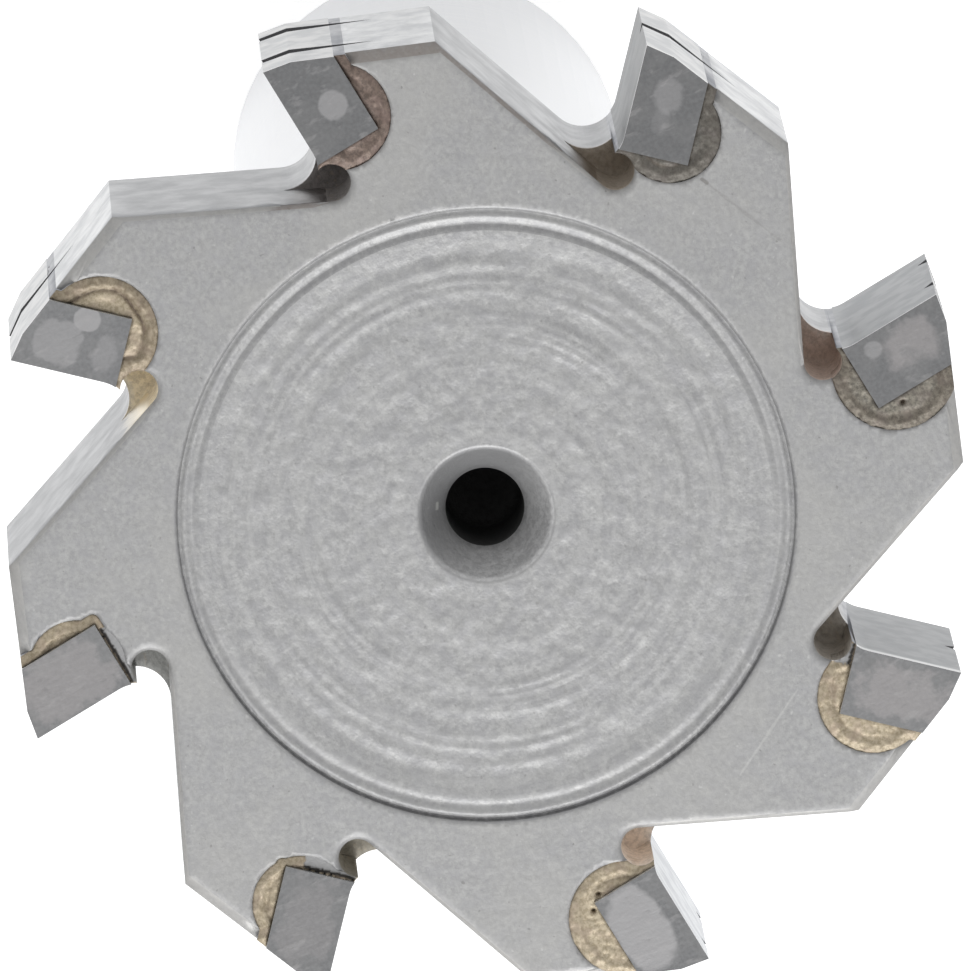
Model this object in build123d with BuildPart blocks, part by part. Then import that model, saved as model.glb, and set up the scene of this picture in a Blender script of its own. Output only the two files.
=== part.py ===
from build123d import *
import os
from math import cos, radians, sin, tan

# Carbide-tipped woodruff keyseat cutter, standing on the end of its shank with the cutting face up.
# Millimetres. The cutter's axis is Z and the end of its shank is at z = 0. The cutting edge of
# tooth 1 lies over +X, the teeth are numbered clockwise seen from above, and the cutter turns
# counter-clockwise seen from above.

# Overall sizes
cutter_diameter = 28.5
cutter_width = 8.0
overall_length = 71.0
shank_diameter = 12.0
shank_length = 45.0
shank_chamfer = 0.8
neck_diameter = 11.0
neck_fillet = 1.5
side_clearance = 0.2  # how far the carbide stands out past the steel on each side

# Tooth form, seen along the axis
tooth_count = 8
rake_angle = 5.0
land_width = 0.84
land_relief = 5.8
clearance_length = 4.13
clearance_angle = 19.3
gullet_depth = 4.36  # down the rake face, from the cutting edge to the gullet's sharp corner
gullet_radius = 1.0
land_chamfer = 0.3

# Relief hole milled into the foot of each gullet from the cutting face
relief_radius = 0.54
relief_length = 3.0
relief_chamfer = 0.12

# Carbide plate and its seat
plate_length = 3.08
plate_thickness = 1.94
joint_back = 0.3
joint_foot = 0.2
seat_radius = 0.2

# Round pocket milled into the cutting face at the corner of each seat, tooth by tooth: how far its
# centre lies down and behind the cutting edge, and its radius. They were milled by eye and differ.
pockets = (
    (2.2, 1.1, 1.55),
    (2.3, 1.25, 1.45),
    (2.1, 1.2, 1.8),
    (2.25, 1.3, 1.6),
    (2.2, 1.4, 1.65),
    (2.1, 1.25, 1.4),
    (2.0, 1.1, 1.4),
    (2.3, 1.3, 1.65),
)
pocket_depth = 1.2
braze_drop = 0.1  # how far the braze lies below the steel face

# Chip-splitting grooves, with their places along the cutting edge from the cutting face
splitter_width = 0.6
splitter_depth = 0.3
splitter_length = 3.3
outer_splitters = (2.2, 6.6)
middle_splitters = (4.4,)

# Turned recess. From its rim inwards: a fine groove, a low ridge, and a shoulder down to the floor
recess_diameter = 17.5
recess_depth = 0.25
rim_groove_width = 0.27
rim_groove_depth = 0.14
rim_ridge_drop = 0.08  # how far the ridge lies below the steel face
shoulder_width = 0.2
undercut_width = 0.16
undercut_depth = 0.03
rim_softness = 0.06

# Centre holes
centre_diameter = 3.9
pilot_diameter = 2.25
pilot_depth = 5.0
centre_angle = 60.0
drill_point_angle = 118.0

# Heights
plate_top = overall_length
plate_back = plate_top - cutter_width
steel_top = plate_top - side_clearance
steel_back = plate_back + side_clearance
recess_floor = steel_top - recess_depth
braze_top = steel_top - braze_drop

# The unground blank, and how far a cutting shape runs past the metal that it cuts
overrun = 1.0
grinding_stock = 0.3
blank_radius = cutter_diameter / 2 + grinding_stock
same_size = 0.01  # how near a size has to be for an edge to count as the one that is looked for
pitch = 360 / tooth_count
tooth_numbers = range(1, tooth_count + 1)

tip = Vector(cutter_diameter / 2, 0)


def from_tip(depth, behind):
    """Return the point that lies a depth down tooth 1's rake face and a way behind it."""
    return tip + Vector(-depth, -behind).rotate(Axis.Z, rake_angle)


def tooth_plane(number, height):
    """Return the level plane at a height, turned so that tooth 1's place becomes the tooth's own."""
    return Plane.XY.offset(height).rotated((0, 0, -pitch * (number - 1)))


def splitters(number):
    """Return where a tooth's chip-splitting grooves lie. Neighbouring teeth differ."""
    return outer_splitters if number % 2 else middle_splitters


def pocket(number):
    """Return the centre of a tooth's round pocket, as it would lie on tooth 1, and its radius."""
    depth, behind, radius = pockets[(number - 1) % len(pockets)]
    return from_tip(depth, behind), radius


# Land behind the cutting edge, then the clearance face down to the heel
knee = tip + Vector(0, -land_width).rotate(Axis.Z, -land_relief)
heel = knee + Vector(0, -clearance_length).rotate(Axis.Z, -clearance_angle)

# The gullet ahead of tooth 1, between its rake face and the flank of the tooth ahead
gullet_corner = from_tip(gullet_depth, 0)
flank = (heel.rotate(Axis.Z, pitch) - gullet_corner).normalized()
rake = (tip - gullet_corner).normalized()
gullet_opening = radians(rake.get_angle(flank))
gullet_floor_centre = gullet_corner + (rake + flank).normalized() * (
    gullet_radius / sin(gullet_opening / 2)
)
gullet_end = gullet_corner + flank * (gullet_radius / tan(gullet_opening / 2))

# The space between tooth 1 and the tooth behind it, out to past the rim of the blank
next_tip = tip.rotate(Axis.Z, -pitch)
next_corner = gullet_corner.rotate(Axis.Z, -pitch)
outer = Vector((blank_radius + overrun) / cos(radians(pitch / 2)), 0)
next_outer = outer.rotate(Axis.Z, -pitch)
with BuildSketch() as tooth_space:
    with BuildLine():
        Polyline(tip, knee, heel, next_corner, next_tip, next_outer, outer, close=True)
    make_face()
    fillet(tooth_space.vertices().sort_by_distance(next_corner)[0], gullet_radius)

# The whole ring of teeth, ground to size
with BuildSketch() as tooth_ring:
    Circle(blank_radius)
    with PolarLocations(0, tooth_count):
        add(tooth_space.sketch, mode=Mode.SUBTRACT)

# The relief hole: round at the foot of the rake face, and opened along the flank that it touches
relief_centre = gullet_corner + rake * (relief_radius / sin(gullet_opening))
relief_touch = gullet_corner + flank * (relief_radius / tan(gullet_opening))
with BuildSketch() as relief:
    with BuildLine():
        Polyline(relief_centre, gullet_floor_centre, gullet_end, relief_touch, close=True)
    make_face()
    with Locations(relief_centre):
        Circle(relief_radius)

# The carbide plate before grinding: its front and its outer end are cut by the ring of teeth
with BuildSketch() as plate:
    with BuildLine():
        Polyline(
            from_tip(plate_length, -overrun),
            from_tip(plate_length, plate_thickness),
            from_tip(-overrun, plate_thickness),
            from_tip(-overrun, -overrun),
            close=True,
        )
    make_face()

# The seat, larger than the plate by the braze joint
seat_foot = plate_length + joint_foot
seat_back = plate_thickness + joint_back
with BuildSketch() as seat:
    with BuildLine():
        Polyline(
            from_tip(seat_foot, -overrun),
            from_tip(seat_foot, seat_back),
            from_tip(-overrun, seat_back),
            from_tip(-overrun, -overrun),
            close=True,
        )
    make_face()
    fillet(seat.vertices().sort_by_distance(from_tip(seat_foot, seat_back))[0], seat_radius)

# What the wheel takes out for a chip-splitting groove: a V, deepest at the cutting edge, whose
# bottom runs out on the clearance face, so that the groove narrows to a point there
splitter_start = from_tip(splitter_depth, 0)
splitter_end = knee + (heel - knee).normalized() * (splitter_length - land_width)
splitter_run = (splitter_end - splitter_start).normalized()
splitter_side = splitter_width / 2 / splitter_depth
wheel_plane = Plane(splitter_start - splitter_run * overrun, x_dir=(0, 0, 1), z_dir=splitter_run)
with BuildPart() as splitter:
    with BuildSketch(wheel_plane):
        with BuildLine():
            Polyline(
                (0, 0),
                (splitter_side * overrun, -overrun),
                (-splitter_side * overrun, -overrun),
                close=True,
            )
        make_face()
    extrude(amount=(splitter_end - splitter_start).length + 2 * overrun)

# The cone that the drill leaves at the bottom of a pilot hole
drill_point = pilot_diameter / 2 / tan(radians(drill_point_angle / 2))
into_metal = (Align.CENTER, Align.CENTER, Align.MAX)

# Corners of the steel body's turned form
shank_corner = (shank_diameter / 2, 0)
neck_start = shank_length + (shank_diameter - neck_diameter) / 2
neck_corner = (neck_diameter / 2, steel_back)
recess_radius = recess_diameter / 2
groove_bottom = (recess_radius - rim_groove_width / 2, steel_top - rim_groove_depth)
ridge = (recess_radius - rim_groove_width, steel_top - rim_ridge_drop)
undercut = (ridge[0] - shoulder_width, recess_floor - undercut_depth)
floor_edge = (undercut[0] - undercut_width, recess_floor)

# Steel body: shank, neck and toothed head in one piece
with BuildPart() as cutter_body:
    with BuildSketch(Plane.XZ) as turned_form:
        with BuildLine():
            Polyline(
                (0, 0),
                shank_corner,
                (shank_diameter / 2, shank_length),
                (neck_diameter / 2, neck_start),
                neck_corner,
                (blank_radius, steel_back),
                (blank_radius, steel_top),
                (recess_radius, steel_top),
                groove_bottom,
                ridge,
                undercut,
                floor_edge,
                (0, recess_floor),
                close=True,
            )
        make_face()
        for corner in (groove_bottom, ridge, undercut):
            fillet(turned_form.vertices().sort_by_distance(corner)[0], rim_softness)
        fillet(turned_form.vertices().sort_by_distance(neck_corner)[0], neck_fillet)
        chamfer(turned_form.vertices().sort_by_distance(shank_corner)[0], shank_chamfer)
    revolve(axis=Axis.Z)

    # Gullets and ground lands, through the head
    with BuildSketch(Plane.XY.offset(steel_top + overrun)):
        with PolarLocations(0, tooth_count):
            add(tooth_space.sketch)
    extrude(amount=-cutter_width - 2 * overrun, mode=Mode.SUBTRACT)

    # Chamfer along the clearance faces
    rim_edges = cutter_body.faces().sort_by(Axis.Z)[-1].edges()
    heel_edges = rim_edges.filter_by(lambda edge: abs(edge.length - clearance_length) < same_size)
    chamfer(heel_edges, land_chamfer)

    # Relief holes, from the cutting face
    with BuildSketch(Plane.XY.offset(steel_top)):
        with PolarLocations(0, tooth_count):
            add(relief.sketch)
    extrude(amount=-relief_length, mode=Mode.SUBTRACT)
    rim_arcs = cutter_body.faces().sort_by(Axis.Z)[-1].edges().filter_by(GeomType.CIRCLE)
    relief_rims = rim_arcs.filter_by(lambda arc: abs(arc.radius - relief_radius) < same_size)
    chamfer(relief_rims, relief_chamfer)

    # Seats for the plates, through the head, and their pockets
    with BuildSketch(Plane.XY.offset(steel_top + overrun)):
        with PolarLocations(0, tooth_count):
            add(seat.sketch)
    extrude(amount=-cutter_width - 2 * overrun, mode=Mode.SUBTRACT)
    for number in tooth_numbers:
        centre, radius = pocket(number)
        with BuildSketch(tooth_plane(number, steel_top)):
            with Locations(centre):
                Circle(radius)
        extrude(amount=-pocket_depth, mode=Mode.SUBTRACT)

    # Chip-splitting grooves, where they run on into the steel
    for number in tooth_numbers:
        for place in splitters(number):
            with Locations(tooth_plane(number, plate_top - place)):
                add(splitter.part, mode=Mode.SUBTRACT)

    # Centre holes in both ends, with the point that the drill leaves
    pilot_radius = pilot_diameter / 2
    for end in (Plane.XY.offset(recess_floor), Plane.XY.rotated((180, 0, 0))):
        with Locations(end):
            CounterSinkHole(pilot_radius, centre_diameter / 2, pilot_depth, centre_angle)
        with Locations(end.offset(-pilot_depth)):
            Cone(0, pilot_radius, drill_point, align=into_metal, mode=Mode.SUBTRACT)


def make_tip(number):
    """Return the ground carbide plate of one tooth."""
    with BuildPart() as carbide_tip:
        with BuildSketch(tooth_plane(number, plate_back)):
            add(tooth_ring.sketch)
            add(plate.sketch, mode=Mode.INTERSECT)
        extrude(amount=cutter_width)
        for place in splitters(number):
            with Locations(tooth_plane(number, plate_top - place)):
                add(splitter.part, mode=Mode.SUBTRACT)
    return carbide_tip.part


def make_joint(number):
    """Return the braze of one tooth: the joint behind and below its plate, and the filled pocket."""
    centre, radius = pocket(number)
    with BuildPart() as braze_joint:
        with BuildSketch(tooth_plane(number, steel_back)):
            add(tooth_ring.sketch)
            add(seat.sketch, mode=Mode.INTERSECT)
            add(plate.sketch, mode=Mode.SUBTRACT)
        extrude(amount=braze_top - steel_back)
        with BuildSketch(tooth_plane(number, steel_top - pocket_depth)):
            add(tooth_ring.sketch)
            with Locations(centre):
                Circle(radius, mode=Mode.INTERSECT)
            add(plate.sketch, mode=Mode.SUBTRACT)
        extrude(amount=pocket_depth - braze_drop)
        with BuildSketch(tooth_plane(number, steel_top)):
            add(relief.sketch)
        extrude(amount=-relief_length, mode=Mode.SUBTRACT)
        for place in splitters(number):
            with Locations(tooth_plane(number, plate_top - place)):
                add(splitter.part, mode=Mode.SUBTRACT)
    return braze_joint.part


os.makedirs("parts", exist_ok=True)

cutter_body.part.label = "cutter_body"
export_step(cutter_body.part, "parts/cutter_body.step")

for number in tooth_numbers:
    tip_piece = make_tip(number)
    tip_piece.label = f"carbide_tip_{number}"
    export_step(tip_piece, f"parts/{tip_piece.label}.step")

    joint_piece = make_joint(number)
    joint_piece.label = f"braze_joint_{number}"
    export_step(joint_piece, f"parts/{joint_piece.label}.step")
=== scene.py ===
import math
import random

import bmesh
import bpy
from mathutils import Matrix, Vector, kdtree, noise
from mathutils.geometry import delaunay_2d_cdt


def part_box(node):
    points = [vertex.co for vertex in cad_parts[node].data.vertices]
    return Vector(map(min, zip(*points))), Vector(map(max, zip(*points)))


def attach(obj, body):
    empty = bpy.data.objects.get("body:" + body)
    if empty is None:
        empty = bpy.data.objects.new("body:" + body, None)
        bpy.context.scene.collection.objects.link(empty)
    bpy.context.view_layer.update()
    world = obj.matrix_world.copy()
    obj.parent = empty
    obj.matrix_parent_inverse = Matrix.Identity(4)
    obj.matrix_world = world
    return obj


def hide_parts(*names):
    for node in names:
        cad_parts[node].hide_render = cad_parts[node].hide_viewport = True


# Looks of a carbide-tipped woodruff keyseat cutter. Sizes are in millimetres, and MM turns them
# into metres.
MM = 0.001

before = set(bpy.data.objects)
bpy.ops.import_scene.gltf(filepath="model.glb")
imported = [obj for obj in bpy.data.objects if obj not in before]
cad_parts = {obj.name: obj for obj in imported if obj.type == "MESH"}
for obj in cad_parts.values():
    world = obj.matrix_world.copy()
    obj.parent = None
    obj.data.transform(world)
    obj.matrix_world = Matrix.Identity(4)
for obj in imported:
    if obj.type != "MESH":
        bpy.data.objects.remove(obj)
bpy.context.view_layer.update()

# Sizes of the model that the looks follow
tooth_count = 8
tooth_numbers = range(1, tooth_count + 1)
pitch = 360 / tooth_count
rake_angle = 5.0
gullet_share = 8.0  # degrees ahead of a cutting edge that still belong to its tooth
body_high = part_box("cutter_body")[1] / MM
tip_low, tip_high = (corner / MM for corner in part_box("carbide_tip_1"))
steel_top = body_high.z
plate_top = tip_high.z
steel_back = tip_low.z + plate_top - steel_top
cutter_radius = tip_high.x
braze_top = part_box("braze_joint_1")[1].z / MM
plate_length = 3.08
plate_thickness = 1.94
braze_reach = 2.9  # how far behind the rake face the braze reaches
relief_place = 3.75  # from the cutting edge down the rake face to the centre of the relief hole
relief_radius = 0.54
relief_length = 3.0
groove_reach = 1.3  # how far the splitting grooves lie below the cutting edge's circle
gullet_radius = 12.2  # the gullets' floors and backs lie inside it, the lands outside
recess_radius = 8.75
rim_radius = 8.88  # the recess's worn rim, a little wider than the recess
floor_radius = 7.95
centre_radius = 1.95
pilot_radius = 1.125
turned_bottom = 64.5  # lower than the pilot hole in the face
touching = 0.001  # heights and radii that differ by less are the same

# Camera: a long lens above the cutting face, tilted off the axis
sensor_width = 36.0
photo_width = 970
focal_pixels = 27756
camera_distance = 788.6
camera_tilt = 9.03
camera_azimuth = -17.0
image_up = -26.4
aim_up = 0.87
aim_left = 0.04


def polar(angle, radius=1.0, height=0.0):
    """Return the point at an angle in degrees, a radius and a height."""
    turn = math.radians(angle)
    return Vector((radius * math.cos(turn), radius * math.sin(turn), height))


def turned(point, angle):
    """Return a point turned about the cutter's axis by an angle in degrees."""
    return Matrix.Rotation(math.radians(angle), 3, "Z") @ point


def at_tooth(number, depth, behind, height=0.0):
    """Return the point that lies a depth down a tooth's rake face and a way behind it."""
    place = Vector((cutter_radius, 0, height)) + turned(Vector((-depth, -behind, 0)), rake_angle)
    return turned(place, -pitch * (number - 1))


def from_tooth(point):
    """Return a point's tooth by its number, and the point's depth and way behind there."""
    angle = math.degrees(math.atan2(point.y, point.x))
    number = math.floor((gullet_share - angle) / pitch) % tooth_count + 1
    place = turned(Vector(point), pitch * (number - 1)) - Vector((cutter_radius, 0, 0))
    place = turned(place, -rake_angle)
    return number, -place.x, -place.y


def radius_of(point):
    """Return how far a point lies from the cutter's axis."""
    return math.hypot(point.x, point.y)


def share(value, whole=1.0):
    """Return a value as a share of a whole, held between 0 and 1."""
    return min(1, max(0, value / whole))


def hump(distance, width):
    """Return a bell curve: 1 at no distance, and fading over a width."""
    return math.exp(-((distance / width) ** 2))


def uneven(place, *layers):
    """Return summed noise at a place, each layer by its height and its cells per millimetre."""
    total = 0.0
    for height, cells in layers:
        total += height * noise.noise(place * cells)
    return total


class Finish:
    """One material's nodes, with a short method for each kind of node that the finishes use."""

    def __init__(self, name, metallic, roughness):
        self.material = bpy.data.materials.new(name)
        self.material.use_nodes = True
        self.tree = self.material.node_tree
        self.surface = self.tree.nodes["Principled BSDF"]
        self.surface.inputs["Metallic"].default_value = metallic
        self.surface.inputs["Roughness"].default_value = roughness
        coordinates = self.node("ShaderNodeTexCoord")
        self.place = self.vector("SCALE", coordinates.outputs["Object"], scale=1 / MM)
        parts = self.node("ShaderNodeSeparateXYZ", Vector=self.place)
        self.x, self.y, self.z = parts.outputs
        self.radius = self.math("SQRT", self.math("ADD", self.square(self.x), self.square(self.y)))

    def put(self, socket, value):
        """Set a socket to a number, a colour or another node's output."""
        if isinstance(value, bpy.types.NodeSocket):
            self.tree.links.new(value, socket)
        elif isinstance(value, (tuple, list)) and socket.type == "RGBA":
            socket.default_value = (*value, 1)
        else:
            socket.default_value = value

    def node(self, kind, **inputs):
        """Return a new node of a kind, with its inputs set by name."""
        made = self.tree.nodes.new(kind)
        for name, value in inputs.items():
            self.put(made.inputs[name.replace("_", " ")], value)
        return made

    def math(self, operation, first, second=0.0, third=0.0):
        made = self.tree.nodes.new("ShaderNodeMath")
        made.operation = operation
        for socket, value in zip(made.inputs, (first, second, third)):
            self.put(socket, value)
        return made.outputs[0]

    def square(self, value):
        return self.math("MULTIPLY", value, value)

    def vector(self, operation, first, second=(0, 0, 0), scale=1.0):
        made = self.tree.nodes.new("ShaderNodeVectorMath")
        made.operation = operation
        self.put(made.inputs[0], first)
        if operation == "SCALE":
            self.put(made.inputs["Scale"], scale)
        else:
            self.put(made.inputs[1], second)
        return made.outputs[0]

    def length(self, vector):
        made = self.tree.nodes.new("ShaderNodeVectorMath")
        made.operation = "LENGTH"
        self.put(made.inputs[0], vector)
        return made.outputs["Value"]

    def combine(self, x, y, z=0.0):
        return self.node("ShaderNodeCombineXYZ", X=x, Y=y, Z=z).outputs[0]

    def stretched(self, *scales):
        """Return the place with its three ways scaled."""
        return self.vector("MULTIPLY", self.place, scales)

    def stain_and_light(self):
        """Return the colour and the strength of the mesh's own stains and painted light and shade.
        """
        made = self.node("ShaderNodeAttribute")
        made.attribute_name = "stain_and_light"
        return made.outputs["Color"], made.outputs["Alpha"]

    def noise(self, scale, detail=2.0, roughness=0.5, place=None):
        """Return noise from 0 to 1, with its scale in cells for each millimetre."""
        made = self.node("ShaderNodeTexNoise", Scale=scale, Detail=detail, Roughness=roughness)
        self.put(made.inputs["Vector"], self.place if place is None else place)
        return made.outputs["Fac"]

    def step(self, value, low, high, bottom=0.0, top=1.0):
        """Return a smooth step of a value, from bottom at low to top at high."""
        made = self.tree.nodes.new("ShaderNodeMapRange")
        made.interpolation_type = "SMOOTHSTEP"
        for socket, number in zip(made.inputs, (value, low, high, bottom, top)):
            self.put(socket, number)
        return made.outputs[0]

    def both(self, first, second):
        return self.math("MULTIPLY", first, second)

    def mix(self, factor, first, second):
        """Return a mix of two colours."""
        made = self.tree.nodes.new("ShaderNodeMix")
        made.data_type = "RGBA"
        self.put(made.inputs[0], factor)
        self.put(made.inputs[6], first)
        self.put(made.inputs[7], second)
        return made.outputs[2]

    def bump(self, height, depth):
        """Raise the surface by a height from 0 to 1, times a depth in millimetres."""
        made = self.node("ShaderNodeBump", Height=height, Distance=depth * MM)
        last = self.surface.inputs["Normal"]
        if last.is_linked:
            self.put(made.inputs["Normal"], last.links[0].from_socket)
        self.put(last, made.outputs[0])

    def colour(self, value):
        self.put(self.surface.inputs["Base Color"], value)

    def rough(self, value):
        self.put(self.surface.inputs["Roughness"], value)


# Colours, linear
# Dark braze colour, also painted shade in the braze's crack, furrow and pores
scale_and_shade_dark = (0.12, 0.085, 0.06)
# Each relief hole's tone is burnt flux colour with painted light and shade: paler where a hole
# looks lit, darker where it lies in shade
relief_flux_and_light_tones = (
    (0.22, 0.2, 0.19),
    (0.4, 0.34, 0.275),
    (0.6, 0.48, 0.41),
    (0.44, 0.4, 0.35),
    (0.97, 0.85, 0.74),
    (0.34, 0.315, 0.265),
    (0.4, 0.4, 0.385),
    (1.0, 0.9, 0.71),
)
golden = ((0.36, 0.3, 0.205), (0.53, 0.455, 0.335))
olive = ((0.13, 0.12, 0.1), (0.25, 0.23, 0.19))
dull = ((0.1, 0.094, 0.082), (0.15, 0.142, 0.125))
ruddy = ((0.14, 0.108, 0.092), (0.26, 0.198, 0.167))
braze_tones = (ruddy, dull, olive, golden, golden, golden, golden, golden)
# Painted shade: the narrow splitting grooves are painted near black
splitter_groove_shade = (0.05, 0.05, 0.053)


def stained_and_lit(finish, tone):
    """Return a colour with the mesh's own stains and painted light and shade over it."""
    colour, strength = finish.stain_and_light()
    patchy = finish.step(finish.noise(5.0, detail=3.0, roughness=0.6), 0.25, 0.6, 0.55, 1.0)
    even = finish.step(strength, 0.93, 0.97)
    patchy = finish.math("MAXIMUM", patchy, even)
    return finish.mix(finish.both(strength, patchy), tone, colour)


def specked(finish, tone, bright, dark):
    """Return a colour with small bright and dark specks, each with its own strength."""
    specks = finish.noise(5.5, detail=1.0, place=finish.vector("ADD", finish.place, (40, 7, 3)))
    tone = finish.mix(finish.step(specks, 0.72, 0.80, 0.0, bright), tone, (0.62, 0.62, 0.61))
    return finish.mix(finish.step(specks, 0.27, 0.2, 0.0, dark), tone, (0.17, 0.165, 0.16))


def scratched(finish, tone, start, end, width, colour, strength):
    """Return a colour with a thin straight mark of another colour over it."""
    ragged = 0.1
    start, end = Vector(start), Vector(end)
    way = end - start
    offset = finish.vector("SUBTRACT", finish.combine(finish.x, finish.y), (*start, 0))
    across, along, _ = finish.node("ShaderNodeSeparateXYZ", Vector=offset).outputs
    reached = finish.math("ADD", finish.both(across, way.x), finish.both(along, way.y))
    reached = finish.math("DIVIDE", reached, way.length_squared)
    reached = finish.math("MAXIMUM", finish.math("MINIMUM", reached, 1.0), 0.0)
    nearest = finish.vector("SCALE", (*way, 0), scale=reached)
    distance = finish.length(finish.vector("SUBTRACT", offset, nearest))
    wobble = finish.math("MULTIPLY_ADD", finish.noise(1.5), ragged, -ragged / 2)
    distance = finish.math("ADD", distance, wobble)
    return finish.mix(finish.step(distance, width, 0.3 * width, 0.0, strength), tone, colour)


pale_scratch = (0.6, 0.6, 0.58)
dark_scratch = (0.14, 0.13, 0.12)
# Marks on the face: start, end, half width, colour and strength
face_scratches = (
    ((5.7, -9.86), (3.36, -10.97), 0.05, dark_scratch, 0.16),
    ((5.92, -9.76), (5.75, -9.84), 0.07, dark_scratch, 0.55),
    ((-8.46, -5.67), (-9.93, -3.13), 0.045, pale_scratch, 0.25),
)
lit_cone_side = 135  # the side of the centre hole's cone that painted light makes paler, in degrees clockwise from the camera's up
cone_fleck = ((0.62, 1.23), (0.76, 1.15), 0.06, pale_scratch, 0.9)


def blasted_finish():
    """Grit-blasted steel: fine grain, soft clouds, and small bright and dark specks."""
    steel = Finish("blasted_steel", metallic=0.6, roughness=0.58)
    grain = steel.noise(6.5, detail=4.0, roughness=0.75)
    mottle = steel.noise(2.4, detail=3.0, roughness=0.65)
    cloud = steel.noise(0.3, detail=2.0)
    tone = steel.mix(steel.step(grain, 0.3, 0.7), (0.32, 0.32, 0.322), (0.415, 0.415, 0.412))
    tone = steel.mix(steel.step(mottle, 0.4, 0.66, 0.0, 0.5), tone, (0.34, 0.34, 0.35))
    tone = steel.mix(steel.step(cloud, 0.4, 0.65, 0.0, 0.35), tone, (0.42, 0.415, 0.4))
    tone = specked(steel, tone, 0.3, 0.45)
    for scratch in face_scratches:
        tone = scratched(steel, tone, *scratch)
    steel.colour(stained_and_lit(steel, tone))
    steel.bump(grain, 0.012)
    return steel.material


def turned_finish():
    """Turned and then blasted steel: the tool's rings still show."""
    steel = Finish("turned_steel", metallic=0.6, roughness=0.55)
    rings = steel.noise(1.0, detail=4.0, roughness=0.7, place=steel.combine(
        steel.math("MULTIPLY", steel.radius, 3.5), steel.math("MULTIPLY", steel.x, 0.2),
        steel.math("MULTIPLY", steel.y, 0.2)))
    grain = steel.noise(6.0, detail=4.0, roughness=0.7)
    mottle = steel.noise(1.9, detail=4.0, roughness=0.65)
    tone = steel.mix(steel.step(grain, 0.3, 0.7), (0.32, 0.32, 0.322), (0.45, 0.45, 0.447))
    tone = steel.mix(steel.step(mottle, 0.4, 0.62, 0.0, 0.6), tone, (0.33, 0.33, 0.34))
    tone = steel.mix(steel.step(rings, 0.4, 0.65, 0.0, 0.35), tone, (0.46, 0.46, 0.455))
    # Painted light and shade: the cone is paler and grainy on one side of the view and darker on
    # the other
    toward = polar(image_up - lit_cone_side)
    side = steel.math("ADD", steel.both(steel.x, toward.x), steel.both(steel.y, toward.y))
    grit = steel.step(steel.noise(5.0, detail=4.0, roughness=0.75), 0.4, 0.6, 0.6, 1.0)
    grit = steel.both(steel.step(side, -1.1, 1.3), grit)
    cone = steel.mix(grit, (0.295, 0.295, 0.3), (0.66, 0.66, 0.66))
    cone = scratched(steel, cone, *cone_fleck)
    inner = steel.step(steel.radius, centre_radius - 0.05, centre_radius + 0.02, 0.9, 0.0)
    tone = steel.mix(inner, tone, cone)
    steel.colour(stained_and_lit(steel, specked(steel, tone, 0.2, 0.3)))
    steel.bump(grain, 0.012)
    steel.bump(mottle, 0.035)
    return steel.material


def ground_finish(name, dark, pale, roughness):
    """Ground steel, with soft blotches and faint streaks along the wheel's way."""
    steel = Finish(name, metallic=0.95, roughness=roughness)
    streaks = steel.noise(
        1.0, detail=3.0, roughness=0.6, place=steel.stretched(0.5, 0.5, 3.0))
    blotch = steel.noise(0.9, detail=4.0, roughness=0.65)
    tone = steel.mix(steel.step(blotch, 0.35, 0.68), pale, dark)
    tone = steel.mix(steel.step(streaks, 0.35, 0.7, 0.0, 0.3), tone, dark)
    steel.colour(stained_and_lit(steel, tone))
    steel.rough(steel.step(blotch, 0.3, 0.7, roughness - 0.05, roughness + 0.08))
    steel.bump(steel.noise(4.0, detail=3.0, roughness=0.6), 0.006)
    return steel.material


def shank_finish():
    """Cylindrically ground steel: fine lines run around it."""
    steel = Finish("shank_steel", metallic=0.95, roughness=0.38)
    lines = steel.noise(
        1.0, detail=3.0, roughness=0.7, place=steel.stretched(0.2, 0.2, 7.0))
    cloud = steel.noise(0.25, detail=2.0)
    tone = steel.mix(steel.step(lines, 0.3, 0.7), (0.7, 0.71, 0.73), (0.77, 0.775, 0.785))
    tone = steel.mix(steel.step(cloud, 0.4, 0.65, 0.0, 0.4), tone, (0.74, 0.745, 0.76))
    steel.colour(stained_and_lit(steel, tone))
    steel.rough(steel.step(lines, 0.3, 0.7, 0.34, 0.44))
    steel.bump(lines, 0.004)
    return steel.material


def flux_and_shade_finish():
    """Burnt flux in the relief holes, and painted near-black shade in the grooves and the pilot
    hole.
    """
    flux_and_shade = Finish("flux_and_shade", metallic=0.0, roughness=0.75)
    own, _ = flux_and_shade.stain_and_light()
    grain = flux_and_shade.noise(6.0, detail=4.0, roughness=0.7)
    tone = flux_and_shade.mix(flux_and_shade.step(grain, 0.35, 0.6), flux_and_shade.mix(0.25, own, (0, 0, 0)), own)
    fleck = flux_and_shade.noise(5.0, place=flux_and_shade.vector("ADD", flux_and_shade.place, (9, 3, 1)))
    # The painted near-black shade of the grooves and the pilot hole has no flecks
    amount = flux_and_shade.both(flux_and_shade.step(fleck, 0.58, 0.7, 0.0, 0.3), flux_and_shade.step(own, 0.05, 0.09))
    flux_and_shade.colour(flux_and_shade.mix(amount, tone, (0.4, 0.32, 0.23)))
    flux_and_shade.bump(grain, 0.04)
    return flux_and_shade.material


# Dark and pale tones of the plates' ground sides, and the painted highlight along the top of each
# rake, under the cutting face
rake_tones = ((0.32, 0.33, 0.345), (0.41, 0.42, 0.43))
land_tones = ((0.56, 0.57, 0.58), (0.72, 0.72, 0.72))
edge_highlight_tone = (0.85, 0.85, 0.85)


class Mark:
    """A pale mark on a plate, with the depth and the way behind of its middle.

    Half its size along each follows, its colour and strength, and how ragged and soft its edge is.
    """

    def __init__(
            self, depth, behind, half_depth, half_behind, colour, strength, ragged=0.6, soft=0.6):
        self.place = (depth, behind)
        self.half = (half_depth, half_behind)
        self.colour, self.strength, self.ragged, self.soft = colour, strength, ragged, soft
        self.squareness = 1.0 if half_depth < 0.6 else 1.5  # small marks are round


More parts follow.
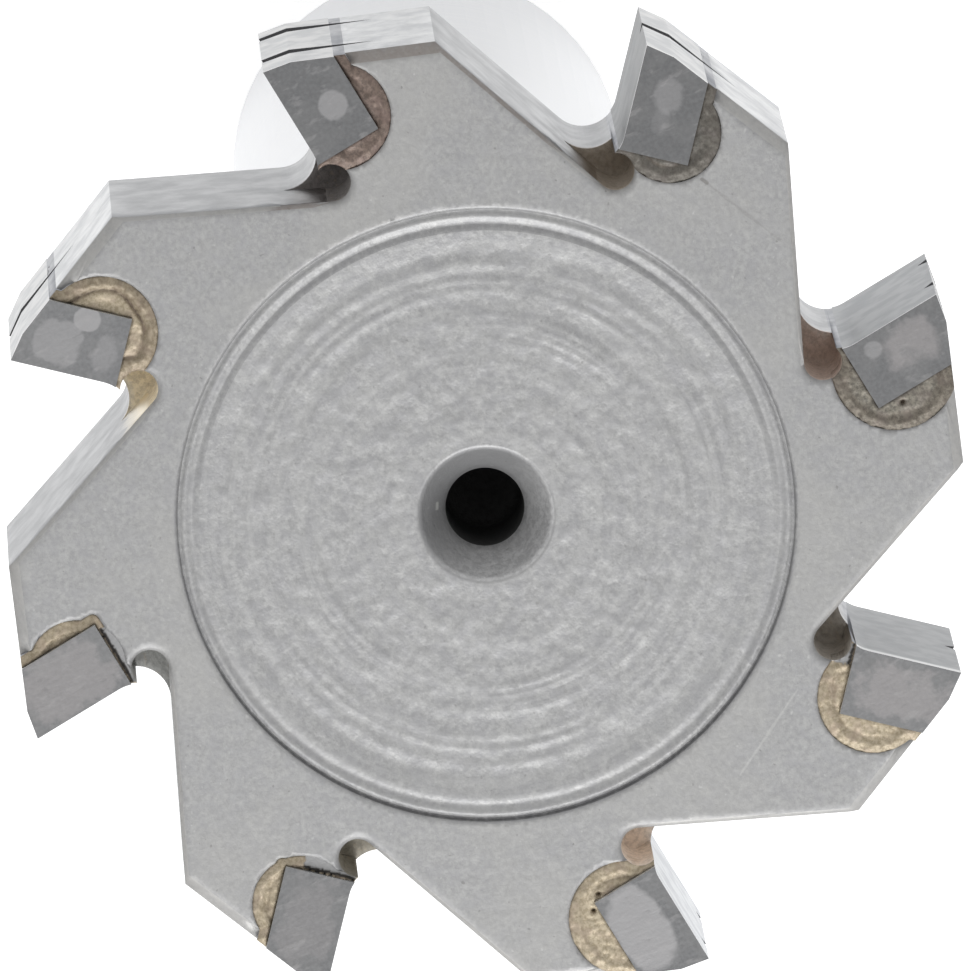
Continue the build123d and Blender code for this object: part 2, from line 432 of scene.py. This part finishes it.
def marked(carbide, tone, number, mark, smear, jag):
    """Return a colour with a soft-edged ragged mark over it."""
    middle = at_tooth(number, *mark.place)
    deep = turned(turned(Vector((-1, 0, 0)), rake_angle), -pitch * (number - 1))
    back = turned(turned(Vector((0, -1, 0)), rake_angle), -pitch * (number - 1))
    across = carbide.math("SUBTRACT", carbide.x, middle.x)
    along = carbide.math("SUBTRACT", carbide.y, middle.y)
    ragged = mark.ragged
    total = carbide.math("MULTIPLY_ADD", smear, 4 * ragged, -2 * ragged)
    total = carbide.math("ADD", total, carbide.math("MULTIPLY_ADD", jag, 2 * ragged, -ragged))
    for way, half in zip((deep, back), mark.half):
        part = carbide.math("ADD", carbide.both(across, way.x), carbide.both(along, way.y))
        part = carbide.square(carbide.math("DIVIDE", part, half))
        total = carbide.math("ADD", total, carbide.math("POWER", part, mark.squareness))
    inner, outer = 1 - mark.soft, 1 + mark.soft
    shown = carbide.step(total, outer, inner, 0.0, mark.strength)
    return carbide.mix(shown, tone, mark.colour)


def carbide_finish(number, base, marks, rake_painted_light, highlight_width):
    """Ground cemented carbide, with its tooth's own pale pressed and smeared marks."""
    carbide = Finish(f"carbide_{number}", metallic=0.75, roughness=0.42)
    smear = carbide.noise(1.3, detail=2.0, roughness=0.55)
    scuff = carbide.noise(
        1.0, detail=3.0, roughness=0.6, place=carbide.stretched(3.2, 1.3, 1.0))
    jag = carbide.noise(3.5, detail=4.0, roughness=0.6)
    fine = carbide.noise(9.0, detail=2.0)
    cool = Vector((1, 1.01, 1.03)) * base
    tone = carbide.mix(carbide.step(fine, 0.3, 0.7), tuple(0.92 * cool), tuple(1.08 * cool))
    tone = carbide.mix(carbide.step(smear, 0.45, 0.6, 0.0, 0.3), tone, (1.3 * base,) * 3)
    for mark in marks:
        tone = marked(carbide, tone, number, mark, smear, jag)
    tone = carbide.mix(carbide.step(scuff, 0.56, 0.68, 0.0, 0.22), tone, (0.42, 0.41, 0.41))
    tone = carbide.mix(carbide.step(scuff, 0.4, 0.3, 0.0, 0.25), tone, (0.8 * base,) * 3)
    normal = carbide.tree.nodes.new("ShaderNodeNewGeometry").outputs["Normal"]
    across, along, lean = carbide.node("ShaderNodeSeparateXYZ", Vector=normal).outputs
    outward = carbide.math("ADD", carbide.both(across, carbide.x), carbide.both(along, carbide.y))
    on_land = carbide.step(carbide.math("DIVIDE", outward, carbide.radius), 0.3, 0.7)
    # Painted light: each rake is lighter or darker by how it faces the lamp
    dark_rake, pale_rake = (tuple(rake_painted_light * part for part in tone) for tone in rake_tones)
    rake = carbide.mix(carbide.step(smear, 0.35, 0.65), dark_rake, pale_rake)
    land = carbide.mix(carbide.step(smear, 0.35, 0.65), *land_tones)
    wall = carbide.mix(on_land, rake, land)
    # Painted highlight: a bright band along the rake's top edge
    band = carbide.step(carbide.z, plate_top - highlight_width, plate_top - highlight_width * 0.5)
    wall = carbide.mix(carbide.both(band, 0.8), wall, edge_highlight_tone)
    slope = carbide.math("ABSOLUTE", lean)
    # Painted shade: the grooves' slanted faces are near black
    tone = carbide.mix(carbide.step(slope, 0.85, 0.95), splitter_groove_shade, tone)
    tone = carbide.mix(carbide.step(slope, 0.3, 0.2), tone, wall)
    carbide.colour(tone)
    carbide.bump(fine, 0.004)
    carbide.bump(scuff, 0.015)
    return carbide.material


def braze_finish(number, dark, pale):
    """Dull granular braze."""
    braze = Finish(f"braze_{number}", metallic=0.3, roughness=0.5)
    grain = braze.noise(8.5, detail=3.0, roughness=0.75)
    lump = braze.noise(2.2, detail=2.0)
    tone = braze.mix(braze.step(grain, 0.36, 0.6), dark, pale)
    blush = (0.86 * pale[0], 0.8 * pale[1], 0.86 * pale[2])
    tone = braze.mix(braze.step(lump, 0.45, 0.7, 0.0, 0.5), tone, blush)
    braze.colour(stained_and_lit(braze, tone))
    braze.bump(grain, 0.02)
    return braze.material


# Shapes: the steel body and the braze get a finer surface than the plain solids
merge_distance = 0.002
smooth_angle = 38


def load_metal(name):
    """Return a model node's mesh in millimetres, with its triangles joined."""
    metal = bmesh.new()
    metal.from_mesh(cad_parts[name].data)
    bmesh.ops.scale(metal, vec=(1 / MM,) * 3, verts=metal.verts)
    bmesh.ops.remove_doubles(metal, verts=metal.verts, dist=0.0001)
    return metal


def sew(metal):
    """Join the old and the new faces of a mesh, and turn them all outwards."""
    bmesh.ops.remove_doubles(metal, verts=metal.verts, dist=merge_distance)
    bmesh.ops.recalc_face_normals(metal, faces=metal.faces)


def is_level(verts, height):
    """Tell whether all of some points of a mesh lie at a height."""
    return all(abs(vert.co.z - height) < touching for vert in verts)


def paint(metal, zone_of):
    """Give each face its zone's material and its colour, a stain or painted light and shade, and
    return the layer of these colours.
    """
    stain_and_light = metal.loops.layers.float_color.new("stain_and_light")
    for face in metal.faces:
        face.material_index, colour = zone_of(face)
        for loop in face.loops:
            loop[stain_and_light] = colour or (0, 0, 0, 0)
    return stain_and_light


def split_long(metal, limit, chosen):
    """Halve the chosen edges that are longer than a limit, again and again."""
    most_halvings = 7
    for _ in range(most_halvings):
        long_edges = [edge for edge in metal.edges if chosen(edge) and edge.calc_length() > limit]
        bmesh.ops.subdivide_edges(metal, edges=long_edges, cuts=1)
        bmesh.ops.triangulate(metal, faces=[face for face in metal.faces if len(face.verts) > 3])


def border_of(metal, height):
    """Return the points of a level open border, and its edges as pairs of their indices."""
    order, points, edges = {}, [], []
    metal.verts.index_update()
    for edge in metal.edges:
        if edge.is_boundary and is_level(edge.verts, height):
            for vert in edge.verts:
                if vert.index not in order:
                    order[vert.index] = len(points)
                    points.append(vert.co.xy)
            edges.append(tuple(order[vert.index] for vert in edge.verts))
    return points, edges


def tree_of(points):
    """Return a search tree of level points."""
    tree = kdtree.KDTree(len(points))
    for index, point in enumerate(points):
        tree.insert((point.x, point.y, 0), index)
    tree.balance()
    return tree


def inside_triangles(filled):
    """Return the triangles of a filled plane that lie inside its outlines."""
    _, edges, triangles, _, sources, _ = filled
    outlines = {frozenset(edge) for edge, source in zip(edges, sources) if source}
    owners = {}
    for index, triangle in enumerate(triangles):
        for start, end in zip(triangle, triangle[1:] + triangle[:1]):
            owners.setdefault(frozenset((start, end)), []).append(index)
    beyond, inside = {}, {}
    for side, (first, *rest) in owners.items():
        crosses = side in outlines
        for second in rest:
            beyond.setdefault(first, []).append((second, crosses))
            beyond.setdefault(second, []).append((first, crosses))
        if not rest:
            inside.setdefault(first, crosses)
    waiting = list(inside)
    while waiting:
        index = waiting.pop()
        for other, crosses in beyond.get(index, ()):
            if other not in inside:
                inside[other] = inside[index] != crosses
                waiting.append(other)
    return [triangle for index, triangle in enumerate(triangles) if inside[index]]


def fill_level(metal, height, points, edges, spacing):
    """Fill level outlines with even small triangles."""
    most_jitter, clearance = 0.2, 0.6  # shares of the spacing
    tree = tree_of(points)
    chance = random.Random(7)
    low = Vector((min(point.x for point in points), min(point.y for point in points)))
    high = Vector((max(point.x for point in points), max(point.y for point in points)))
    row_step = spacing * math.sqrt(0.75)  # the height of an even triangle
    inner = []
    for row in range(int((high.y - low.y) / row_step) + 1):
        for column in range(int((high.x - low.x) / spacing) + 1):
            jitter = Vector([chance.uniform(-most_jitter, most_jitter) for _ in "xy"]) * spacing
            shift = row % 2 / 2
            point = low + Vector(((column + shift) * spacing, row * row_step)) + jitter
            if tree.find((point.x, point.y, 0))[2] > clearance * spacing:
                inner.append(point)
    nearest = 0.00001
    filled = delaunay_2d_cdt(points + inner, edges, [], 0, nearest, True)
    verts = [metal.verts.new((point.x, point.y, height)) for point in filled[0]]
    for triangle in inside_triangles(filled):
        metal.faces.new([verts[index] for index in triangle])
    bmesh.ops.delete(metal, geom=[vert for vert in verts if not vert.link_faces], context="VERTS")


def make_piece(metal, name, node, materials):
    """Make a piece of the scene from a mesh in millimetres, in place of a model node."""
    bmesh.ops.scale(metal, vec=(MM,) * 3, verts=metal.verts)
    mesh = bpy.data.meshes.new(name)
    metal.to_mesh(mesh)
    metal.free()
    mesh.shade_smooth()
    mesh.set_sharp_from_angle(angle=math.radians(smooth_angle))
    for material in materials:
        mesh.materials.append(material)
    piece = bpy.data.objects.new(name, mesh)
    bpy.context.scene.collection.objects.link(piece)
    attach(piece, "root")
    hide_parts(node)


# Steel body
rim_steps = 300
rim_turn = 360 / rim_steps
# Rings that the tool left: radius and width in the recess, and radius on the face
turning_rings = (
    (7.2, 0.16),
    (6.75, 0.1),
    (6.45, 0.12),
    (5.7, 0.13),
    (5.48, 0.1),
    (5.25, 0.1),
    (5.0, 0.12),
)
face_rings = (10.0, 10.4, 11.4)
face_ring_width = 0.05
worn_width, worn_depth = 0.1, 0.01  # the rounding of the face's edges
# How long the finer surface's edges are: on the borders, walls, relief holes and face
border_step, wall_step, hole_step, face_step = 0.13, 1.0, 0.25, 0.12
# The same along the turned profile, outside and inside the centre hole
profile_step, centre_step = 0.07, 0.3
# The recess from its rim inwards, over two grooves and two ridges: radius and drop below the face
floor_corner = floor_radius - 0.4
rim_corners = (
    (rim_radius, 0.0),
    (8.82, 0.05),
    (8.77, 0.175),
    (8.73, 0.18),
    (8.62, 0.125),
    (8.57, 0.125),
    (8.42, 0.2),
    (8.36, 0.205),
    (8.22, 0.172),
    (8.12, 0.175),
    (floor_radius, 0.2),
    (floor_corner, 0.25),
)


def in_recess(point, slack=touching):
    """Tell whether a point lies in the recess or in the centre hole below it."""
    return radius_of(point) < rim_radius + slack and point.z > turned_bottom


def recess_profile(metal):
    """Return the turned profile as radii and heights, from the rim inwards, in short steps."""
    corners = {}
    for vert in metal.verts:
        radius = radius_of(vert.co)
        if in_recess(vert.co) and radius < floor_corner:
            corners[round(radius, 2), round(vert.co.z, 2)] = Vector((radius, vert.co.z))
    corners = sorted(corners.values(), key=lambda corner: (-round(corner.x, 2), -corner.y))
    corners = [Vector((radius, steel_top - drop)) for radius, drop in rim_corners] + corners
    profile = corners[:1]
    for corner in corners[1:]:
        start = profile[-1]
        step = profile_step if start.x > centre_radius + 0.01 else centre_step
        count = math.ceil((corner - start).length / step)
        profile += [start.lerp(corner, index / count) for index in range(1, count + 1)]
    return profile


def add_turned(metal, profile):
    """Turn a profile about the axis. It ends on the axis."""
    rings = []
    for corner in profile[:-1]:
        rings.append([metal.verts.new(polar(rim_turn * turn, corner.x, corner.y))
                      for turn in range(rim_steps)])
    for outer, inner in zip(rings, rings[1:]):
        for turn in range(rim_steps):
            after = (turn + 1) % rim_steps
            metal.faces.new((outer[turn], outer[after], inner[after], inner[turn]))
    point = metal.verts.new((0, 0, profile[-1].y))
    for turn in range(rim_steps):
        metal.faces.new((rings[-1][turn], rings[-1][(turn + 1) % rim_steps], point))


def turned_relief(point):
    """Return the height that the turning tool and the grit left at a point of the recess floor."""
    radius = radius_of(point)
    level = Vector((point.x, point.y, 0))
    rings = sum(hump(radius - ring, width) for ring, width in turning_rings)
    around = max(0, 0.6 + uneven(level, (1.3, 0.33)))  # the rings come and go on their way round
    fine = noise.noise(Vector((radius * 2.6, point.x * 0.1, point.y * 0.1)))
    relief = 0.034 * rings * around + 0.013 * fine
    relief += uneven(level, (0.026, 1.4), (0.02, 3.0))
    # It is weaker on the rim, and fades out towards the centre hole
    strength = max(0.25, share(floor_radius - radius, 0.3)) * share(radius - 2.1, 0.2)
    return relief * strength


def beside_braze(point):
    """Tell whether a point of the face lies around a tooth's braze, where no edge is worn."""
    _, depth, behind = from_tooth(point)
    return 0.7 < depth < relief_place + relief_radius and 0.3 < behind < braze_reach


def blasted_relief(point, border_distance):
    """Return the height that the grit left at a point of the face, lower at its worn edges."""
    level = Vector((point.x, point.y, 5))
    radius = radius_of(point)
    relief = uneven(level, (0.007, 0.8), (0.006, 2.4), (0.004, 5.0))
    relief -= 0.006 * sum(hump(radius - ring, face_ring_width) for ring in face_rings)
    worn = 0 if beside_braze(point) else max(0, 1 - border_distance / worn_width)
    return relief * min(1, border_distance / (2 * worn_width)) - worn_depth * worn * worn


BLASTED, TURNED, GROUND, SHANK, FLUX_AND_SHADE = range(5)
# How far a face's normal leans up: less on a wall, more on a level face
wall_lean, level_lean = 0.3, 0.9
# Between these radii painted shade darkens the rim's groove on the lower side of the view, and the
# ring inside it on the upper side, where their slopes face away from the lamp
rim_groove_shade_band, rim_groove_shade_tone = (8.73, 8.83), (0.1, 0.1, 0.105)
ring_shade_band, ring_shade_tone = (8.16, 8.36), (0.17, 0.17, 0.175)
pilot_hole_shade = (0.045, 0.045, 0.045)
# Tooth 1's bevelled edges are rusty; on the other teeth painted light lightens the bevels, which
# face away from the lamp
rusty_edge, painted_edge_light = (0.25, 0.205, 0.175), (0.5, 0.49, 0.47)
rusty_tooth = 1
edge_depth, edge_rust_and_light = 0.4, 0.5  # the head's bevelled edges lie within this depth
gullet_tone = (0.32, 0.325, 0.335)
# The burnt flux in the relief holes, whose tones hold painted light and shade as well: how far from
# their circles it covers the wall behind, the plate's foot that it covers too, how much painted
# light lightens it near the face and down to where, and how far it runs out into the gullet
flux_reach = 0.25
foot_depth, foot_reach = 3.0, 1.0
mouth_light_gain, mouth_light_reach = 0.14, 0.35
smear_reach = 0.8


def recess_zone(centre, radius):
    """Return the material and the stain of a face in the recess or in the centre hole."""
    if radius < pilot_radius + 0.01:
        # Painted shade: the deep pilot hole is painted near black
        return FLUX_AND_SHADE, (*pilot_hole_shade, 1)
    upper = centre.xy.normalized().dot(polar(image_up).xy)
    # Painted shade: each groove is darker on the side of the view where its slope faces away from
    # the lamp
    if rim_groove_shade_band[0] < radius < rim_groove_shade_band[1]:
        return TURNED, (*rim_groove_shade_tone, 0.7 * share(0.3 - upper))
    if ring_shade_band[0] < radius < ring_shade_band[1]:
        return TURNED, (*ring_shade_tone, 0.5 * share(0.2 + upper))
    return TURNED, None


def body_zone(face):
    """Return a body face's material, and its stain or painted light and shade as a colour with a
    strength.
    """
    centre, lean = face.calc_center_median(), face.normal.z
    radius = radius_of(centre)
    below = steel_top - centre.z
    if centre.z < steel_back - 0.01:
        return SHANK, None
    if in_recess(centre):
        return recess_zone(centre, radius)
    in_groove = wall_lean < abs(lean) < level_lean and below > 0.5
    if in_groove and radius > cutter_radius - groove_reach:
        # Painted shade in the splitting groove
        return FLUX_AND_SHADE, (*splitter_groove_shade, 1)
    number, depth, behind = from_tooth(centre)
    flux_and_light_tone = relief_flux_and_light_tones[number - 1]
    away = math.hypot(depth - relief_place, behind)
    at_foot = depth > foot_depth and away < foot_reach
    on_far_wall = behind > 0.1 and (away < relief_radius + flux_reach or at_foot)
    in_relief = on_far_wall or away < relief_radius + 0.03
    if in_relief and 0.02 < below < relief_length - 0.01 and abs(lean) < wall_lean:
        # Painted light: the hole's wall is paler near the face, where more light reaches in
        mouth_light = mouth_light_gain * (1 - min(1, below / mouth_light_reach))
        return FLUX_AND_SHADE, (*(part + mouth_light for part in flux_and_light_tone), 1)
    if lean > level_lean and abs(below - relief_length) < 0.05 and radius > recess_radius:
        return FLUX_AND_SHADE, (*flux_and_light_tone, 1)
    if lean > wall_lean and below < edge_depth and radius > recess_radius:
        if lean < level_lean and away > relief_radius + 0.2:
            # Rust on tooth 1, painted light on the other bevels
            return BLASTED, (*(rusty_edge if number == rusty_tooth else painted_edge_light), edge_rust_and_light)
        return BLASTED, None
    if lean < -level_lean:
        return BLASTED, None
    # Lands look straight outwards and are bright. Gullets are duller, with flux near the reliefs.
    outward = face.normal.xy.dot(centre.xy) / radius
    shade = share(max((0.95 - outward) / 0.08, (gullet_radius - radius) / 0.5))
    smear = min(1.2 - (away - relief_radius) / smear_reach, (relief_length - below) / 0.4 + 0.6)
    smear = min(0.95, share(smear))
    tone = Vector(gullet_tone).lerp(Vector(flux_and_light_tone), smear)
    return GROUND, (*tone, max(shade, smear))


def beside_relief(point):
    """Tell whether a point lies in or close around a relief hole, below the face."""
    _, depth, behind = from_tooth(point)
    below = steel_top - point.z
    near = math.hypot(depth - relief_place, behind) < relief_radius + 1.2
    return near and 0.05 < below < relief_length + 1.05


def on_head(edge):
    """Tell whether an edge lies on the cutter's head."""
    return min(vert.co.z for vert in edge.verts) > steel_back - 0.5


def make_body(flux_and_shade):
    """Replace the steel body with one that has a fine surface on its cutting face."""
    metal = load_metal("cutter_body")
    profile = recess_profile(metal)
    old_faces = [face for face in metal.faces if all(
        is_level([vert], steel_top) or in_recess(vert.co) for vert in face.verts)]
    bmesh.ops.delete(metal, geom=old_faces, context="FACES")
    split_long(metal, border_step, lambda edge: edge.is_boundary)
    split_long(metal, wall_step, on_head)
    split_long(metal, hole_step, lambda edge: all(beside_relief(vert.co) for vert in edge.verts))
    points, edges = border_of(metal, steel_top)
    outline = tree_of(points)
    rim = [polar(rim_turn * turn, rim_radius).xy for turn in range(rim_steps)]
    start = len(points)
    rim_edges = [(start + turn, start + (turn + 1) % rim_steps) for turn in range(rim_steps)]
    fill_level(metal, steel_top, points + rim, edges + rim_edges, face_step)
    add_turned(metal, profile)
    sew(metal)
    paint(metal, body_zone)
    for vert in metal.verts:
        if in_recess(vert.co, slack=-0.01):
            vert.co.z += turned_relief(vert.co)
        elif is_level([vert], steel_top):
            border_distance = outline.find((vert.co.x, vert.co.y, 0))[2]
            rim_distance = radius_of(vert.co) - rim_radius + 0.06
            vert.co.z += blasted_relief(vert.co, min(border_distance, rim_distance))
    materials = [
        blasted_finish(),
        turned_finish(),
        ground_finish("ground_steel", (0.5, 0.51, 0.525), (0.64, 0.645, 0.65), 0.34),
        shank_finish(),
        flux_and_shade,
    ]
    make_piece(metal, "steel_body", "cutter_body", materials)


# Braze: how long its edges are, the furrow around each plate by its strength where it isn't faint,
# and its pores by their depth and way behind
crack_width = 0.03
crest_way, furrow_way = 0.24, 0.2  # the crest from the wall, and the furrow from the crest
braze_border_step, braze_step = 0.07, 0.055
faint_furrow = 0.35
furrow_strengths = {1: 0.6, 3: 0.7, 8: 1.0}
braze_pits = {
    3: ((2.42, 2.17),),
    5: ((3.2, 1.72), (2.87, 2.09)),
}
pit_width = 0.06
# Teeth where the braze stops short: bare steel beside the plate's end, from and to a way behind
bare_legs = {4: (-0.1, 0.55), 6: (-0.1, 1.45), 7: (-0.1, 1.75)}
bare_steel = (0.34, 0.34, 0.342)
crevice_shade = (0.05, 0.045, 0.04)
crevice_shade_width = 0.13
BRAZE, GROUND_BRAZE, BRAZE_FLUX_AND_SHADE = range(3)


def braze_relief(number, point, wall, beside):
    """Return the lumpy braze's rise and darkness at a point, by its ways to wall and plate. The
    darkness is painted shade in the crack, the furrow and the pores, and darker braze by the wall.
    """
    _, depth, behind = from_tooth(point)
    level = Vector((point.x, point.y, number * 3.0))
    # A bead with a crest runs along the wall, and inside it a furrow. Outside that it is darker.
    crest = wall - crest_way - uneven(level, (0.1, 0.8))
    strength = furrow_strengths.get(number, faint_furrow)
    furrow = hump(crest - furrow_way - uneven(level, (0.06, 1.5)), 0.06)
    furrow *= strength * max(0, 0.8 + uneven(level, (1.2, 0.6)))
    outer = share(crest_way + furrow_way - wall, 0.1)
    rise = 0.04 * (1 - hump(wall, 0.06)) + 0.08 + 0.05 * hump(crest, 0.09) - 0.09 * furrow
    rise += uneven(level, (0.045, 2.5), (0.03, 6.0), (0.02, 11.0))
    rise -= 0.05 * hump(beside, crack_width)
    # Painted shade darkens the crack beside the plate; by the wall the braze is a little darker
    dark = max(0.08 * hump(wall, 0.05), 0.5 * hump(beside, 0.035))
    # Painted shade in the furrow, as deep as the furrow is; outside it the braze is darker
    dark = max(dark, furrow, 0.45 * strength * outer)
    for pit_depth, pit_behind in braze_pits.get(number, ()):
        pit = hump(math.hypot(depth - pit_depth, behind - pit_behind), pit_width)
        rise -= 0.25 * pit
        # Painted shade in the pore
        dark = max(dark, pit)
    return rise, min(1, dark)


def braze_zone(face, number):
    """Return a braze face's material, and its stain or painted shade as a colour with a strength.
    """
    centre, lean = face.calc_center_median(), face.normal.z
    if lean > 0.5 and steel_top - centre.z < 0.5:
        return BRAZE, None
    if abs(lean) > wall_lean and radius_of(centre) > cutter_radius - groove_reach:
        # Painted shade in the splitting groove
        return BRAZE_FLUX_AND_SHADE, (*splitter_groove_shade, 1)
    _, depth, behind = from_tooth(centre)
    ahead = turned(turned(face.normal, pitch * (number - 1)), -rake_angle).y
    in_relief = math.hypot(depth - relief_place, behind) < relief_radius + 0.1
    if in_relief and (ahead < 0.7 or behind > 0.15):
        return BRAZE_FLUX_AND_SHADE, (*relief_flux_and_light_tones[number - 1], 1)
    return GROUND_BRAZE, None


def make_braze(number, ground_braze, flux_and_shade):
    """Replace one tooth's braze with a lumpy one."""
    name = f"braze_joint_{number}"
    metal = load_metal(name)
    cap = [face for face in metal.faces if is_level(face.verts, braze_top)]
    bmesh.ops.delete(metal, geom=cap, context="FACES")
    split_long(metal, braze_border_step, lambda edge: edge.is_boundary)
    points, edges = border_of(metal, braze_top)
    walls = []
    for point in points:
        _, depth, behind = from_tooth(point.to_3d())
        if depth > plate_length + 0.05 or behind > plate_thickness + 0.05:
            walls.append(point)
    wall_tree = tree_of(walls)
    fill_level(metal, braze_top, points, edges, braze_step)
    sew(metal)
    stain_and_light = paint(metal, lambda face: braze_zone(face, number))
    for vert in metal.verts:
        if is_level([vert], braze_top):
            wall = wall_tree.find((vert.co.x, vert.co.y, 0))[2]
            _, depth, behind = from_tooth(vert.co)
            beside = max(depth - plate_length, behind - plate_thickness, 0)
            rise, dark = braze_relief(number, vert.co, wall, beside)
            colour = (*scale_and_shade_dark, dark)
            bare_from, bare_to = bare_legs.get(number, (0, 0))
            if depth > plate_length and bare_from < behind < bare_to:
                rise = 0.1 - 0.1 * hump(beside, 0.08)
                # Painted shade: the crevice beside the plate is near black
                colour = (*crevice_shade, 1) if beside < crevice_shade_width else (*bare_steel, 1)
            vert.co.z += rise
            for loop in vert.link_loops:
                if loop.face.material_index == BRAZE:
                    loop[stain_and_light] = colour
    materials = [braze_finish(number, *braze_tones[number - 1]), ground_braze, flux_and_shade]
    make_piece(metal, f"braze_{number}", name, materials)


# Plates: how light each is, its pale marks, the painted light that makes its rake lighter or darker
# where that differs, and how wide the painted highlight along its rake's upper edge is
pale = (0.37, 0.365, 0.37)
rosy = (0.38, 0.36, 0.36)
plate_lights = (0.165, 0.16, 0.175, 0.2, 0.185, 0.185, 0.2, 0.205)
plate_marks = {
    1: (Mark(1.83, 1.21, 0.42, 0.42, pale, 0.6, 0.25, 0.25),),
    2: (Mark(1.24, 0.92, 0.5, 0.38, pale, 0.4), Mark(2.0, 0.9, 0.35, 0.25, pale, 0.2)),
    3: (
        Mark(2.35, 0.42, 0.26, 0.26, pale, 0.5, 0.3, 0.35),
        Mark(1.35, 0.85, 0.75, 0.6, rosy, 0.5, 1.0, 0.9),
    ),
    4: (Mark(1.55, 1.0, 1.35, 0.85, rosy, 0.5, 1.2),),
    5: (Mark(1.75, 1.18, 1.25, 0.74, pale, 0.8, 0.3, 0.3),),
    6: (Mark(1.7, 1.0, 1.2, 0.8, rosy, 0.25, 1.2),),
    7: (Mark(1.6, 1.05, 1.4, 0.95, rosy, 0.45, 1.0),),
    8: (
        Mark(1.15, 0.8, 0.7, 0.6, pale, 0.55, 0.7, 0.4),
        Mark(2.55, 0.8, 0.3, 0.5, pale, 0.4),
        Mark(1.86, 1.64, 0.38, 0.34, pale, 0.8, 0.2, 0.2),
    ),
}
rake_painted_lights = {2: 0.65, 4: 0.8, 5: 1.9}
edge_highlight_widths = {2: 0.3, 4: 0.5}
narrow_highlight_width = 0.14


def dress(node, material):
    """Put one material on a model node."""
    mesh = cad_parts[node].data
    mesh.materials.clear()
    mesh.materials.append(material)


def make_cutter():
    """Make the steel body and each tooth's braze, and dress the plates."""
    flux_and_shade = flux_and_shade_finish()
    ground_braze = ground_finish("ground_braze", (0.3, 0.31, 0.335), (0.4, 0.405, 0.425), 0.4)
    make_body(flux_and_shade)
    for number in tooth_numbers:
        make_braze(number, ground_braze, flux_and_shade)
        material = carbide_finish(
            number,
            plate_lights[number - 1],
            plate_marks[number],
            rake_painted_lights.get(number, 1.0),
            edge_highlight_widths.get(number, narrow_highlight_width),
        )
        dress(f"carbide_tip_{number}", material)


def camera_matrix(right, up, back, place):
    """Return the matrix of a camera from its three axes and its place."""
    matrix = Matrix((right, up, back)).transposed().to_4x4()
    matrix.translation = place
    return matrix


def add_camera():
    """Look down at the cutting face from the photograph's angle."""
    data = bpy.data.cameras.new("camera")
    data.sensor_fit = "HORIZONTAL"
    data.sensor_width = sensor_width
    data.lens = focal_pixels / photo_width * sensor_width
    data.clip_start, data.clip_end = 0.01, 20  # metres
    camera = bpy.data.objects.new("camera", data)
    bpy.context.scene.collection.objects.link(camera)
    face_centre = Vector((0, 0, steel_top))
    tilt = math.radians(camera_tilt)
    toward = polar(camera_azimuth, math.sin(tilt), math.cos(tilt))
    place = face_centre + toward * camera_distance
    aim = face_centre + polar(image_up, aim_up) + polar(image_up + 90, aim_left)
    back = (place - aim).normalized()
    right = polar(image_up).cross(back).normalized()
    camera.matrix_world = camera_matrix(right, back.cross(right), back, place * MM)
    bpy.context.scene.camera = camera


# Stage: a pale floor under white soft light
def background_rays(nodes, links):
    """Return a value of 1 for the rays that see the background: camera, glossy and transmission."""
    rays = nodes.new("ShaderNodeLightPath").outputs
    total = rays["Is Camera Ray"]
    for kind in ("Is Glossy Ray", "Is Transmission Ray"):
        added = nodes.new("ShaderNodeMath")
        added.operation = "MAXIMUM"
        links.new(total, added.inputs[0])
        links.new(rays[kind], added.inputs[1])
        total = added.outputs[0]
    return total


def add_floor():
    """A plain pale floor just under the shank's end, which keeps the cutter's shadow."""
    half, level = 3.0, -0.02 * MM
    glow_strength = 0.55
    mesh = bpy.data.meshes.new("floor")
    signs = ((-1, -1), (1, -1), (1, 1), (-1, 1))
    mesh.from_pydata([(x * half, y * half, level) for x, y in signs], [], [(0, 1, 2, 3)])
    floor = bpy.data.objects.new("floor", mesh)
    bpy.context.scene.collection.objects.link(floor)
    material = bpy.data.materials.new("floor")
    material.use_nodes = True
    nodes, links = material.node_tree.nodes, material.node_tree.links
    surface = nodes["Principled BSDF"]
    surface.inputs["Base Color"].default_value = (0.9, 0.9, 0.9, 1)
    surface.inputs["Roughness"].default_value = 1.0
    surface.inputs["Specular IOR Level"].default_value = 0.0
    surface.inputs["Emission Color"].default_value = (1, 1, 1, 1)
    glow = nodes.new("ShaderNodeMath")
    glow.operation = "MULTIPLY"
    glow.inputs[1].default_value = glow_strength
    links.new(background_rays(nodes, links), glow.inputs[0])
    links.new(glow.outputs[0], surface.inputs["Emission Strength"])
    mesh.materials.append(material)


def add_world(light_level):
    """Even white light from all sides, and plain white behind the cutter."""
    world = bpy.data.worlds.new("world")
    bpy.context.scene.world = world
    world.use_nodes = True
    nodes, links = world.node_tree.nodes, world.node_tree.links
    level = nodes.new("ShaderNodeMapRange")
    level.inputs["To Min"].default_value = light_level
    level.inputs["To Max"].default_value = 1.0
    links.new(background_rays(nodes, links), level.inputs["Value"])
    background = nodes["Background"]
    background.inputs["Color"].default_value = (1, 1, 1, 1)
    links.new(level.outputs[0], background.inputs["Strength"])


def add_lamp(name, azimuth, elevation, distance, size, power):
    """A square soft lamp that points at the head, with its distance and size in metres."""
    data = bpy.data.lights.new(name, "AREA")
    data.shape = "SQUARE"
    data.size = size
    data.energy = power
    lamp = bpy.data.objects.new(name, data)
    bpy.context.scene.collection.objects.link(lamp)
    rise = math.radians(elevation)
    toward = polar(azimuth, math.cos(rise), math.sin(rise))
    lamp.location = Vector((0, 0, steel_top * MM)) + toward * distance
    lamp.rotation_mode = "QUATERNION"
    lamp.rotation_quaternion = toward.to_track_quat("Z", "Y")


make_cutter()
add_camera()
add_floor()
add_world(light_level=0.5)
add_lamp(
    "key_lamp", azimuth=image_up + 180 + 5, elevation=34, distance=0.2, size=0.11, power=0.29)
bpy.context.scene.view_settings.view_transform = "Standard"
